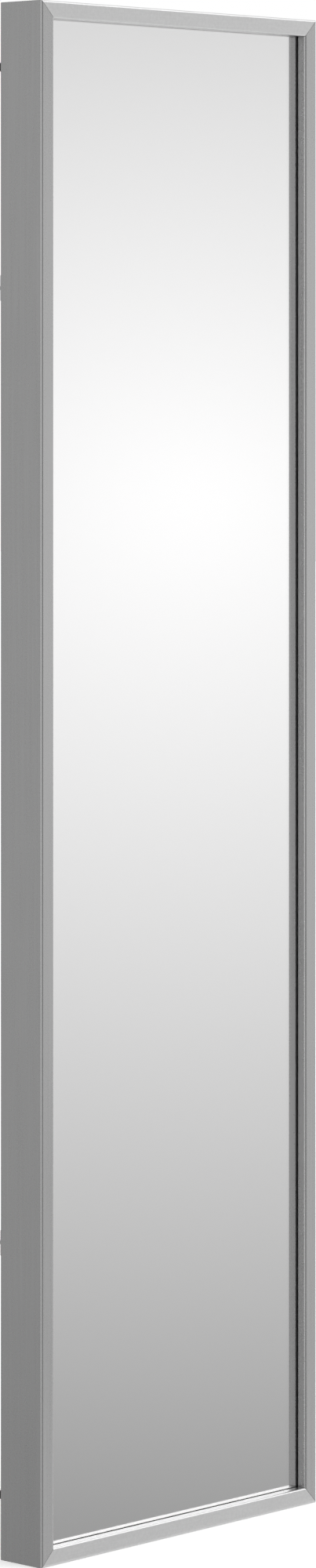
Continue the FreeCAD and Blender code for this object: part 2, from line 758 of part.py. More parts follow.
def make_hanger_ring(side):
    """A closed D ring of wire; its straight bar lies in the strap's eye and its bow hangs down."""
    body = add_body(f"{side}_hanger_ring")
    path = add_sketch(body, "path", "XZ_Plane")
    corners = [
        ("ring_corner_cut", "ring_top"),
        ("ring_far_corner", "ring_top"),
        ("ring_width", "ring_shoulder"),
        ("ring_width", "ring_half_width"),
        (ZERO, "ring_half_width"),
        (ZERO, "ring_shoulder"),
    ]
    add_outline(path, corners, arcs={3: ("ring_half_width", "ring_half_width", -1)})
    wire = add_sketch(body, "wire", "XY_Plane", rise="ring_shoulder")
    add_regular_outline(wire, "ring_wire_radius", whole("ring_wire_sides"))
    doc.recompute()
    pipe = body.newObject("PartDesign::AdditivePipe", f"{body.Name}_pipe")
    pipe.Profile = wire
    pipe.Spine = (path, [""])
    pipe.Transition = "Right corner"
    doc.recompute()
    place(body, f"{side}_ring_x", "eye_y", "ring_z")


def make_hanger_screws():
    """One screw through each strap into the hanging bar."""
    screw = make_screw("hanger")
    y = number("strap_y") + number("strap_thickness")
    z = number("strap_z") + number("strap_middle")
    offset = number("hanger_offset")
    spots = [Placement(Vector(x, y, z), Rotation()) for x in (-offset, offset)]
    add_group("hanger_screws", screw, spots)


def make_bumper(node, x, z):
    """A rubber buffer whose stem is pressed into the rear channel's slot."""
    body = add_body(node)
    profile = add_sketch(body, "profile", "XY_Plane")
    add_outline(profile, [
        (ZERO, ZERO),
        ("stem_radius", ZERO),
        ("stem_radius", "stem_length"),
        ("bumper_radius", "stem_length"),
        ("bumper_radius", "bumper_top"),
        (ZERO, "bumper_top"),
    ])
    add_revolution(body, profile)
    place(body, x, "bumper_y", z)


# Whole mirror
def build():
    """Make every piece of the mirror."""
    fill_sizes()
    for side in SIDES:
        make_rail(side)
    for corner in CORNERS:
        make_corner_keys(corner)
    make_set_screws()
    make_sheet("mirror_glass", "glass", "glass_thickness", "glass_y", arris="glass_arris")
    make_sheet("silver_backing", "glass", "silver_thickness", "silver_y")
    make_sheet("backing_board", "board", "board_thickness", "board_y")
    make_glazing_tapes()
    make_setting_blocks()
    make_board_clips()
    make_bar("hanging_bar", "hanging_bar_z", hanger_holes=True)
    make_bar("stiffener_bar", "stiffener_bar_rise", hanger_holes=False)
    make_bar_fixings()
    for side in ("left", "right"):
        make_hanger_strap(side)
        make_hanger_ring(side)
    make_hanger_screws()
    make_bumper("upper_left_wall_bumper", "bumper_left", "upper_bumper_z")
    make_bumper("upper_right_wall_bumper", "bumper_right", "upper_bumper_z")
    make_bumper("lower_left_wall_bumper", "bumper_left", "bumper_place")
    make_bumper("lower_right_wall_bumper", "bumper_right", "bumper_place")
    doc.recompute()


def check():
    """Stop if any object failed to build or any node has no sound shape."""
    for item in doc.Objects:
        if "Invalid" in item.State or "Error" in item.State:
            raise RuntimeError(f"{item.Label} failed: {item.State}")
    for node in nodes:
        if node.Shape.isNull() or not node.Shape.isValid() or not node.Shape.Solids:
            raise RuntimeError(f"{node.Label} has no sound shape")


def write():
    """Write each node to a file of its own name."""
    os.makedirs("parts", exist_ok=True)
    for node in nodes:
        node.Shape.exportStep(f"parts/{node.Label}.step")
    print(len(nodes), "nodes,", sum(len(node.Shape.Solids) for node in nodes), "solids")


build()
check()
write()
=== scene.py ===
"""Looks of the dressing mirror: satin metal frame, glass pane, back hardware, studio and camera.

Metres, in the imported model's frame: +Z is up, the mirror looks towards -Y and X runs across it.
A rail's own frame has x inward from its outer face, y back from its front face and z along it.
"""

import logging
import math
from dataclasses import dataclass
from enum import Enum
from typing import Any, Sequence, Union

import bmesh
import bpy
from bpy.types import Material, Mesh, Object
from mathutils import Matrix, Vector


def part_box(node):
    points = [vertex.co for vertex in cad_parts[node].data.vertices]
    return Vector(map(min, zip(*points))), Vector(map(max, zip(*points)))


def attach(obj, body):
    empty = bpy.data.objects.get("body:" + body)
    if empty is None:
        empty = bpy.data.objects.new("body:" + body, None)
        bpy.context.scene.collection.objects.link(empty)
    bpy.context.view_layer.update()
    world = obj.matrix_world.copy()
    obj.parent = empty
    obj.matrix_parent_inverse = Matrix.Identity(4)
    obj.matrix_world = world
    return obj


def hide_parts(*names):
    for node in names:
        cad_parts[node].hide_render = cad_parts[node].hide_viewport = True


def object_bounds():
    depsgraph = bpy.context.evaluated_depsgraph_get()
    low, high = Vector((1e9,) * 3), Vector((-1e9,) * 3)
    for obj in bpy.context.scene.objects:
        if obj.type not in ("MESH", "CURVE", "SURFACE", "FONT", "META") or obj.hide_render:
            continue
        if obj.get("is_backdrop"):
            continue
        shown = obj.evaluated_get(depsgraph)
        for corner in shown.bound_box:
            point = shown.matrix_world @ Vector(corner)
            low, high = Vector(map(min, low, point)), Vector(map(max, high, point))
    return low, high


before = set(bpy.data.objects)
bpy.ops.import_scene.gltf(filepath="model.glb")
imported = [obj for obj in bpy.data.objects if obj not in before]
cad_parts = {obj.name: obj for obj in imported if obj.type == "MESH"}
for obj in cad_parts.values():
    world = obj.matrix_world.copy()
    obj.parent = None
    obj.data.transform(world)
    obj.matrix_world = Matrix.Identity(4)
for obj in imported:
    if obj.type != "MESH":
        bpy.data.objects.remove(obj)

LOG = logging.getLogger("dressing_mirror")
MM = 0.001
BODY = "frame"
WHITE = (1.0, 1.0, 1.0, 1.0)
# Where X and Z stand in a vector
ACROSS = 0
UP = 2
# Points closer than this are one point
WELD = 1e-6
# Edges that bend more than this are shaded sharp
SHARP = math.radians(25.0)
QUARTER_TURN = math.pi / 2
HALF_TURN_DEGREES = 180.0
FULL_TURN_DEGREES = 360.0

Point = tuple[float, float]
Spot = tuple[float, float, float]
Colour = tuple[float, float, float]
Operand = Union["Signal", float, int]
Ring = tuple[Point, ...]


class Side(Enum):
    """The four rails, each with its frame's turn about Y in degrees."""

    LEFT = 0
    TOP = 90
    RIGHT = 180
    BOTTOM = -90

    @property
    def upright(self) -> bool:
        """Whether this side's rail stands upright."""
        return self in (Side.LEFT, Side.RIGHT)

    def node(self, piece: str) -> str:
        """The name of this side's piece."""
        return f"{self.name.lower()}_{piece}"


class Grain(Enum):
    """Which way a metal's brushing runs, as the stretch of its streaks along X, Y and Z."""

    ALONG_X = (0.02, 1.0, 1.0)
    ALONG_Z = (1.0, 1.0, 0.02)
    NONE = (1.0, 1.0, 1.0)


# Materials


class Signal:
    """One output in a node tree; Python's operators on it add Math nodes to the tree."""

    def __init__(self, tree: "NodeTree", socket: bpy.types.NodeSocket) -> None:
        """Keep the tree and the socket."""
        self.tree = tree
        self.socket = socket

    def __add__(self, other: Operand) -> "Signal":
        """Sum."""
        return self.tree.maths("ADD", self, other)

    def __radd__(self, other: Operand) -> "Signal":
        """Sum, with the number first."""
        return self.tree.maths("ADD", other, self)

    def __sub__(self, other: Operand) -> "Signal":
        """Difference."""
        return self.tree.maths("SUBTRACT", self, other)

    def __rsub__(self, other: Operand) -> "Signal":
        """Difference, with the number first."""
        return self.tree.maths("SUBTRACT", other, self)

    def __mul__(self, other: Operand) -> "Signal":
        """Product."""
        return self.tree.maths("MULTIPLY", self, other)

    def __rmul__(self, other: Operand) -> "Signal":
        """Product, with the number first."""
        return self.tree.maths("MULTIPLY", other, self)

    def __truediv__(self, other: Operand) -> "Signal":
        """Quotient."""
        return self.tree.maths("DIVIDE", self, other)

    def __pow__(self, other: Operand) -> "Signal":
        """Power."""
        return self.tree.maths("POWER", self, other)

    def limited(self) -> "Signal":
        """The same signal held between 0 and 1."""
        return self.tree.maths("ADD", self, 0.0, clamp=True)


class NodeTree:
    """A shader or geometry node tree that is filled through a few methods."""

    def __init__(self, tree: bpy.types.NodeTree) -> None:
        """Keep Blender's own tree."""
        self.tree = tree

    def node(self, kind: str, settings: dict[str, Any] | None = None, **inputs: Any) -> bpy.types.Node:
        """Add a node.

        Args:
            kind: The node's type name.
            settings: Properties that are set before the sockets; "stops" gives a colour ramp its
                stops, each with a position and a brightness.
            inputs: Socket values or links; a name with underscores stands for one with spaces, and
                a name such as i2 for the socket of that number.

        Returns:
            The new node.
        """
        made = self.tree.nodes.new(kind)
        for name, value in (settings or {}).items():
            if name != "stops":
                setattr(made, name, value)
                continue
            elements = made.color_ramp.elements
            while len(elements) < len(value):
                elements.new(1.0)
            for element, (position, grey) in zip(elements, value):
                element.position = position
                element.color = (grey, grey, grey, 1.0)
        for name, value in inputs.items():
            if name[0] == "i" and name[1:].isdigit():
                socket = made.inputs[int(name[1:])]
            else:
                socket = made.inputs[name.replace("_", " ")]
            if isinstance(value, Signal):
                self.tree.links.new(value.socket, socket)
            else:
                socket.default_value = value
        return made

    def out(
        self, kind: str, output: str | int = 0, settings: dict[str, Any] | None = None, **inputs: Any
    ) -> Signal:
        """Add a node and return one of its outputs as a signal."""
        return Signal(self, self.node(kind, settings, **inputs).outputs[output])

    def maths(self, operation: str, first: Operand, second: Operand = 0.0, clamp: bool = False) -> Signal:
        """Add a Math node."""
        settings = {"operation": operation, "use_clamp": clamp}
        return self.out("ShaderNodeMath", settings=settings, i0=first, i1=second)


class ShaderTree(NodeTree):
    """A material's nodes, with the patterns that the finishes share."""

    def __init__(self, name: str) -> None:
        """Make an empty material.

        Args:
            name: The material's name.
        """
        self.material = bpy.data.materials.new(name)
        self.material.use_nodes = True
        super().__init__(self.material.node_tree)
        self.tree.nodes.clear()
        self.place = self.out("ShaderNodeTexCoord", "Object")

    def noise(self, scale: float, detail: float, stretch: Spot = Grain.NONE.value) -> Signal:
        """Noise from 0 to 1 with about scale features to the metre."""
        where = self.out("ShaderNodeMapping", Vector=self.place, Scale=stretch)
        return self.out("ShaderNodeTexNoise", "Fac", Vector=where, Scale=scale, Detail=detail)

    def ripple(self, scale: float, detail: float = 2.0, stretch: Spot = Grain.NONE.value) -> Signal:
        """The same noise, from -0.5 to 0.5."""
        return self.noise(scale, detail, stretch) - 0.5

    def mix(self, first: Any, second: Any, share: Operand, blend: str = "MIX") -> Signal:
        """Two colours mixed; a Mix node's sockets for colours are inputs 6 and 7 and output 2."""
        settings = {"data_type": "RGBA", "blend_type": blend}
        return self.out("ShaderNodeMix", 2, settings, i0=share, i6=first, i7=second)

    def tint(self, colour: Colour, lightness: Signal) -> Signal:
        """A colour times a signal."""
        grey = self.out("ShaderNodeCombineColor", Red=lightness, Green=lightness, Blue=lightness)
        return self.mix((*colour, 1.0), grey, 1.0, "MULTIPLY")

    def between(self, low: Colour, high: Colour, share: Signal) -> Signal:
        """A colour between two others."""
        return self.mix((*low, 1.0), (*high, 1.0), share)

    def bump(self, height: Signal, distance: float) -> Signal:
        """A surface normal from a height signal."""
        return self.out("ShaderNodeBump", Height=height, Distance=distance, Strength=1.0)

    def surface(self, **inputs: Any) -> Material:
        """Finish the material with a Principled shader."""
        shader = self.out("ShaderNodeBsdfPrincipled", **inputs)
        return self.shown(shader)

    def shown(self, shader: Signal) -> Material:
        """Finish the material with a given shader."""
        self.node("ShaderNodeOutputMaterial", Surface=shader)
        return self.material


@dataclass(frozen=True)
class MetalFinish:
    """Satin metal, mottled or brushed; a pattern's plain number is its share in the lightness."""

    name: str
    colour: Colour
    roughness: float
    grain: Grain = Grain.NONE
    mottle: float = 0.05
    mottle_scale: float = 700.0
    mottle_detail: float = 1.0
    mottle_roughness: float = 0.04
    streak: float = 0.04
    streak_scale: float = 900.0
    streak_roughness: float = 0.06
    cloud: float = 0.05
    cloud_scale: float = 14.0
    bump: float = 0.02 * MM

    def material(self) -> Material:
        """Build the material.

        Returns:
            The new material.
        """
        tree = ShaderTree(self.name)
        mottle = tree.ripple(self.mottle_scale, self.mottle_detail)
        streaks = tree.ripple(self.streak_scale, stretch=self.grain.value)
        clouds = tree.ripple(self.cloud_scale)
        lightness = 1.0 + self.mottle * 2 * mottle + self.streak * 2 * streaks + self.cloud * clouds
        return tree.surface(
            Base_Color=tree.tint(self.colour, lightness),
            Metallic=1.0,
            Roughness=self.roughness + self.mottle_roughness * mottle + self.streak_roughness * streaks,
            Normal=tree.bump(mottle + streaks, self.bump),
        )


@dataclass(frozen=True)
class DullFinish:
    """Dull plastic, rubber or paint: fine grain, and dust that lightens it here and there."""

    name: str
    colour: Colour
    roughness: float = 0.65
    grain_scale: float = 2200.0
    grain_detail: float = 3.0
    grain_roughness: float = 0.12
    dust_scale: float = 90.0
    dust_detail: float = 4.0
    darkest: float = 0.85
    dust: float = 0.3
    bump: float = 0.04 * MM

    def material(self) -> Material:
        """Build the material.

        Returns:
            The new material.
        """
        tree = ShaderTree(self.name)
        grain = tree.noise(self.grain_scale, self.grain_detail)
        dust = tree.noise(self.dust_scale, self.dust_detail)
        return tree.surface(
            Base_Color=tree.tint(self.colour, self.darkest + self.dust * dust),
            Roughness=self.roughness + self.grain_roughness * (grain - 0.5),
            Normal=tree.bump(grain, self.bump),
        )


@dataclass(frozen=True)
class HardboardFinish:
    """Pressed wood fibre with darker flecks."""

    name: str
    light: Colour
    dark: Colour
    roughness: float = 0.62
    fibre_scale: float = 420.0
    fibre_detail: float = 6.0
    fibre_stretch: Spot = (1.0, 1.0, 0.45)
    fibre_contrast: float = 1.5
    fibre_roughness: float = 0.15
    darkening: float = 0.45
    fleck: float = 0.5
    fleck_scale: float = 150.0
    cloud: float = 0.35
    cloud_scale: float = 9.0
    coarse_detail: float = 3.0
    bump: float = 0.12 * MM

    def material(self) -> Material:
        """Build the material.

        Returns:
            The new material.
        """
        tree = ShaderTree(self.name)
        fibres = tree.noise(self.fibre_scale, self.fibre_detail, self.fibre_stretch)
        flecks = tree.ripple(self.fleck_scale, self.coarse_detail)
        clouds = tree.ripple(self.cloud_scale, self.coarse_detail)
        share = fibres * self.fibre_contrast - self.darkening + self.cloud * clouds + self.fleck * flecks
        return tree.surface(
            Base_Color=tree.between(self.dark, self.light, share.limited()),
            Roughness=self.roughness + self.fibre_roughness * (fibres - 0.5),
            Normal=tree.bump(fibres, self.bump),
        )


@dataclass(frozen=True)
class PaneFinish:
    """A flawless layer of the pane: clear glass, or silvering where it is metal."""

    name: str
    colour: Colour
    metal: float = 0.0
    clear: float = 0.0
    refraction: float = 1.5

    def material(self) -> Material:
        """Build the material."""
        return ShaderTree(self.name).surface(
            Base_Color=(*self.colour, 1.0),
            Metallic=self.metal,
            Roughness=0.0,
            IOR=self.refraction,
            Transmission_Weight=self.clear,
        )


class Finishes:
    """Every finish on the mirror, made once."""

    def __init__(self) -> None:
        """Build the materials."""
        # The side rails get a darker base colour than the cross rails, though all are the same metal
        # profile: painted shade for the darker look of the upright faces.
        self.side_rail = MetalFinish(
            "satin_side_rail", (0.6, 0.6, 0.6), 0.28, Grain.ALONG_Z, mottle=0.02, mottle_scale=300.0,
            streak=0.07, streak_scale=300.0, bump=0.006 * MM,
        ).material()
        self.cross_rail = MetalFinish(
            "satin_cross_rail", (0.82, 0.82, 0.82), 0.3, Grain.ALONG_X, mottle=0.07, mottle_scale=300.0,
            bump=0.008 * MM,
        ).material()
        self.key_steel = MetalFinish("zinc_steel", (0.55, 0.56, 0.57), 0.4).material()
        self.screw_steel = MetalFinish("screw_steel", (0.6, 0.6, 0.58), 0.32).material()
        self.spring_steel = MetalFinish("spring_steel", (0.28, 0.29, 0.31), 0.35).material()
        self.bar_steel = MetalFinish(
            "brushed_bar_steel", (0.5, 0.5, 0.5), 0.36, Grain.ALONG_X, streak=0.12
        ).material()
        self.nickel = MetalFinish(
            "bright_nickel", (0.72, 0.69, 0.64), 0.16, mottle=0.02, bump=0.004 * MM
        ).material()
        # One glazing tape runs all round the pane. Its dark colour at the sides is painted shade for the
        # shadowed gap under the lip, and its pale colour at top and bottom is painted light for the lit
        # line along the sill.
        self.side_tape_painted_shade = DullFinish("dark_foam_tape", (0.27, 0.27, 0.275)).material()
        self.cross_tape_painted_light = DullFinish("pale_foam_tape", (0.92, 0.92, 0.92)).material()
        self.block = DullFinish("block_rubber", (0.03, 0.03, 0.032)).material()
        self.bumper = DullFinish("bumper_rubber", (0.018, 0.018, 0.019), 0.55).material()
        self.board = HardboardFinish("hardboard", (0.30, 0.19, 0.11), (0.15, 0.085, 0.045)).material()
        self.glass = PaneFinish(
            "clear_glass", (0.998, 1.0, 0.999), clear=1.0, refraction=1.52
        ).material()
        self.silver = PaneFinish("silvering", (0.985, 0.981, 0.982), metal=1.0).material()
        self.backing = DullFinish(
            "backing_paint", (0.20, 0.22, 0.23), 0.5, grain_scale=240.0, grain_detail=4.0,
            grain_roughness=0.1, dust_scale=240.0, darkest=0.9, dust=0.2, bump=0.03 * MM,
        ).material()


# Meshes


def link_object(name: str, data: bpy.types.ID) -> Object:
    """Put an object into the scene at the origin.

    Args:
        name: The object's name.
        data: Its mesh, light or camera.

    Returns:
        The new object.
    """
    made = bpy.data.objects.new(name, data)
    bpy.context.scene.collection.objects.link(made)
    return made


def outline_mesh(
    corners: Sequence[Point], radii: Sequence[float], steps: Sequence[int], hold: float = 0.0
) -> Mesh:
    """A closed loop of edges in the XY plane, its corners rounded by arcs.

    Args:
        corners: The loop's corners in order.
        radii: Each corner's radius, above zero.
        steps: How many spans each corner's arc has.
        hold: How far beyond an arc's ends a further point keeps the flat sides shaded flat, if at all.

    Returns:
        The mesh, without faces.
    """
    points: list[Point] = []
    for index, (corner, radius, spans) in enumerate(zip(corners, radii, steps)):
        here = Vector(corner)
        back = (Vector(corners[index - 1]) - here).normalized()
        ahead = (Vector(corners[(index + 1) % len(corners)]) - here).normalized()
        half = back.angle(ahead) / 2
        reach = radius / math.tan(half)
        centre = here + (back + ahead).normalized() * (radius / math.sin(half))
        start = here + back * reach - centre
        end = here + ahead * reach - centre
        swing = start.angle_signed(end)
        arc = []
        for step in range(spans + 1):
            turned = start.copy()
            turned.rotate(Matrix.Rotation(-swing * step / spans, 2))
            arc.append(tuple(centre + turned))
        if hold:
            arc = [tuple(here + back * (reach + hold)), *arc, tuple(here + ahead * (reach + hold))]
        points.extend(arc)
    count = len(points)
    mesh = bpy.data.meshes.new("outline")
    edges = [(index, (index + 1) % count) for index in range(count)]
    mesh.from_pydata([(x, y, 0.0) for x, y in points], edges, [])
    return mesh


@dataclass(frozen=True)
class Turn:
    """One ring of a turned shape; where it has a hexagon's corner radius, that limits the ring."""

    height: float
    radius: float = 1.0
    hexagon: float = 0.0

    def reach(self, angle: float) -> float:
        """The ring's distance from the axis.

        Args:
            angle: The direction round the axis, in radians.

        Returns:
            The distance.
        """
        if not self.hexagon:
            return self.radius
        sixth = math.pi / 3
        off = angle % sixth - sixth / 2
        return min(self.radius, self.hexagon * math.cos(sixth / 2) / math.cos(off))


def rounded_rim(radius: float, top: float, rounding: float, steps: int = 5) -> list[Turn]:
    """Rings from a turned shape's side over its rounded rim to its flat top.

    Args:
        radius: The side's distance from the axis.
        top: The flat top's height.
        rounding: The rim's radius.
        steps: Spans over the rim.

    Returns:
        The rings, from the side to the top.
    """
    turns = []
    for step in range(steps + 1):
        angle = QUARTER_TURN * step / steps
        height = top - rounding + rounding * math.sin(angle)
        turns.append(Turn(height, radius - rounding + rounding * math.cos(angle)))
    return turns


def plain_mesh(name: str, shape: bmesh.types.BMesh) -> Mesh:
    """Turn an edited shape into a mesh.

    Args:
        name: The mesh's name.
        shape: The shape, which is freed.

    Returns:
        The mesh.
    """
    mesh = bpy.data.meshes.new(name)
    shape.to_mesh(mesh)
    shape.free()
    return mesh


def skinned_mesh(loops: Sequence[Sequence[Spot]]) -> Mesh:
    """A closed skin over loops of points.

    Args:
        loops: The loops in order, all with the same number of points; both ends are closed.

    Returns:
        The mesh, with its faces outwards.
    """
    shape = bmesh.new()
    rows = [[shape.verts.new(spot) for spot in loop] for loop in loops]
    for near, far in zip(rows, rows[1:]):
        for index in range(len(near)):
            after = (index + 1) % len(near)
            shape.faces.new((near[index], near[after], far[after], far[index]))
    shape.faces.new(rows[0])
    shape.faces.new(rows[-1])
    bmesh.ops.recalc_face_normals(shape, faces=shape.faces[:])
    return plain_mesh("skin", shape)


def turned_mesh(turns: Sequence[Turn], spans: int = 36) -> Mesh:
    """A closed shape turned round +Y.

    Args:
        turns: The rings from one end to the other; both ends are closed.
        spans: Spans round each ring, a multiple of 12 so that a hexagon's corners are met.

    Returns:
        The mesh, with its axis through the origin.
    """
    angles = [math.tau * span / spans for span in range(spans)]
    loops = []
    for turn in turns:
        ring = [(turn.reach(angle), angle) for angle in angles]
        loops.append([(far * math.cos(angle), turn.height, far * math.sin(angle)) for far, angle in ring])
    return skinned_mesh(loops)


def ribbon_mesh(path: Sequence[Point], half_widths: Sequence[float], thickness: float) -> Mesh:
    """A strip of varying width along a bent path.

    Args:
        path: The strip's middle line, as points of height and depth.
        half_widths: Half the strip's width at each point of the path.
        thickness: The strip's thickness.

    Returns:
        The mesh: width along X, depth along Y and height along Z.
    """
    loops = []
    for index, ((z, y), half) in enumerate(zip(path, half_widths)):
        before = Vector(path[max(index - 1, 0)])
        after = Vector(path[min(index + 1, len(path) - 1)])
        along = (after - before).normalized() * (thickness / 2)
        corners = [(-half, -1), (half, -1), (half, 1), (-half, 1)]
        loops.append([(x, y + side * along.x, z - side * along.y) for x, side in corners])
    return skinned_mesh(loops)


class PieceTree(NodeTree):
    """A Geometry Nodes tree with named inputs, applied to an object and turned into a plain mesh."""

    def __init__(self, name: str, **inputs: str) -> None:
        """Make the tree.

        Args:
            name: The tree's name.
            inputs: Each input's name and what its socket holds, such as Float.
        """
        super().__init__(bpy.data.node_groups.new(name, "GeometryNodeTree"))
        interface = self.tree.interface
        interface.new_socket("Geometry", in_out="INPUT", socket_type="NodeSocketGeometry")
        self.identifiers = {
            key: interface.new_socket(key, in_out="INPUT", socket_type=f"NodeSocket{kind}").identifier
            for key, kind in inputs.items()
        }
        interface.new_socket("Geometry", in_out="OUTPUT", socket_type="NodeSocketGeometry")
        group_input = self.tree.nodes.new("NodeGroupInput")
        self.inputs = {socket.name: Signal(self, socket) for socket in group_input.outputs if socket.name}

    def put(self, geometry: Signal) -> Signal:
        """The geometry, turned and moved by the inputs of those names."""
        turn, place = self.inputs["turn"], self.inputs["place"]
        return self.out("GeometryNodeTransform", Geometry=geometry, Rotation=turn, Translation=place)

    def close(self, geometry: Signal) -> None:
        """End the tree: instances made real, then the material set.

        Args:
            geometry: What the tree has made.
        """
        real = self.out("GeometryNodeRealizeInstances", Geometry=geometry)
        dressed = self.out("GeometryNodeSetMaterial", Geometry=real, Material=self.inputs["finish"])
        self.node("NodeGroupOutput", Geometry=dressed)

    def shape(self, name: str, base: Mesh, **values: Any) -> Mesh:
        """Run the tree on a mesh.

        Args:
            name: The new mesh's name.
            base: The mesh that enters the tree.
            values: A value for each named input.

        Returns:
            The resulting plain mesh, shaded.
        """
        carrier = link_object(f"{name}_base", base)
        modifier = carrier.modifiers.new("tree", "NODES")
        modifier.node_group = self.tree
        for key, value in values.items():
            modifier[self.identifiers[key]] = value
        graph = bpy.context.evaluated_depsgraph_get()
        result = bpy.data.meshes.new_from_object(carrier.evaluated_get(graph))
        carrier.modifiers.remove(modifier)
        bpy.data.objects.remove(carrier)
        result.name = name
        result.shade_smooth()
        result.set_sharp_from_angle(angle=SHARP)
        return result

    def apply(self, name: str, base: Mesh, **values: Any) -> Object:
        """Run the tree on a mesh and put the result into the scene."""
        return link_object(name, self.shape(name, base, **values))


class SectionTree(PieceTree):
    """Extrudes an outline along Z, cuts both ends with a slope and puts the length in its place."""

    def __init__(self) -> None:
        """Build the tree."""
        super().__init__(
            "section", length="Float", slope="Float", gap="Float", turn="Vector", place="Vector",
            finish="Material",
        )
        given = self.inputs
        outline = self.out("GeometryNodeMeshToCurve", Mesh=given["Geometry"])
        face = self.out("GeometryNodeFillCurve", Curve=outline)
        along = self.out("ShaderNodeCombineXYZ", Z=given["length"])
        sweep = self.node("GeometryNodeExtrudeMesh", Mesh=face, Offset=along, Individual=False)
        foot = self.out("GeometryNodeFlipFaces", Mesh=face)
        joined = self.node("GeometryNodeJoinGeometry")
        for part in (Signal(self, sweep.outputs["Mesh"]), foot):
            self.tree.links.new(part.socket, joined.inputs[0])
        shell = Signal(self, joined.outputs[0])
        closed = self.out("GeometryNodeMergeByDistance", Geometry=shell, Distance=WELD)
        spot = self.out("GeometryNodeInputPosition")
        parts = self.node("ShaderNodeSeparateXYZ", Vector=spot)
        inward = Signal(self, parts.outputs["X"])
        height = Signal(self, parts.outputs["Z"])
        slide = (inward * given["slope"] + given["gap"]) * (1.0 - 2.0 * height / given["length"])
        mitre = self.out("ShaderNodeCombineXYZ", Z=slide)
        self.close(self.put(self.out("GeometryNodeSetPosition", Geometry=closed, Offset=mitre)))


class WireTree(PieceTree):
    """Sweeps round wire along a closed path in the XY plane, then turns and moves it."""

    def __init__(self) -> None:
        """Build the tree."""
        super().__init__(
            "wire", radius="Float", spans="Int", turn="Vector", place="Vector", finish="Material"
        )
        given = self.inputs
        joined = self.out("GeometryNodeMergeByDistance", Geometry=given["Geometry"], Distance=WELD)
        path = self.out("GeometryNodeMeshToCurve", Mesh=joined)
        circle = self.out(
            "GeometryNodeCurvePrimitiveCircle", Resolution=given["spans"], Radius=given["radius"]
        )
        self.close(self.put(self.out("GeometryNodeCurveToMesh", Curve=path, Profile_Curve=circle)))


class RepeatTree(PieceTree):
    """Copies a pattern to every vertex of the base mesh, all turned alike."""

    def __init__(self) -> None:
        """Build the tree."""
        super().__init__("repeat", pattern="Object", turn="Vector", finish="Material")
        given = self.inputs
        shape = self.out("GeometryNodeObjectInfo", "Geometry", Object=given["pattern"])
        copies = self.out(
            "GeometryNodeInstanceOnPoints", Points=given["Geometry"], Instance=shape, Rotation=given["turn"]
        )
        self.close(copies)

    def copies(
        self, name: str, pattern: Mesh, spots: Sequence[Spot], finish: Material,
        turn: Spot = (0.0, 0.0, 0.0),
    ) -> Object:
        """Copy a pattern to many spots.

        Args:
            name: The new object's name.
            pattern: The mesh to copy, whose origin goes to each spot.
            spots: Where the copies stand.
            finish: Their material.
            turn: How each is turned, in radians.

        Returns:
            One object that holds all the copies.
        """
        base = bpy.data.meshes.new(f"{name}_spots")
        base.from_pydata(list(spots), [], [])
        carrier = link_object(f"{name}_pattern", pattern)
        made = self.apply(name, base, pattern=carrier, turn=turn, finish=finish)
        bpy.data.objects.remove(carrier)
        return made


# Mirror


def stand_for(piece: Object, node: str, body: str = BODY) -> None:
    """Let a piece replace a CAD node and ride on that node's body.

    Args:
        piece: The finished piece.
        node: The CAD node's name.
        body: The body that carries it.
    """
    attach(piece, body)
    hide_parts(node)
    LOG.info("%s: %d faces", piece.name, len(piece.data.polygons))


def dress(node: Object, material: Material) -> None:
    """Give a carried-over node one material.

    Args:
        node: The node.
        material: Its material.
    """
    node.data.materials.clear()
    node.data.materials.append(material)
    LOG.info("%s: %s", node.name, material.name)


@dataclass
class Assembly:
    """A part of the mirror, with the materials and the copying tree that all parts share."""

    finishes: Finishes
    repeat: RepeatTree


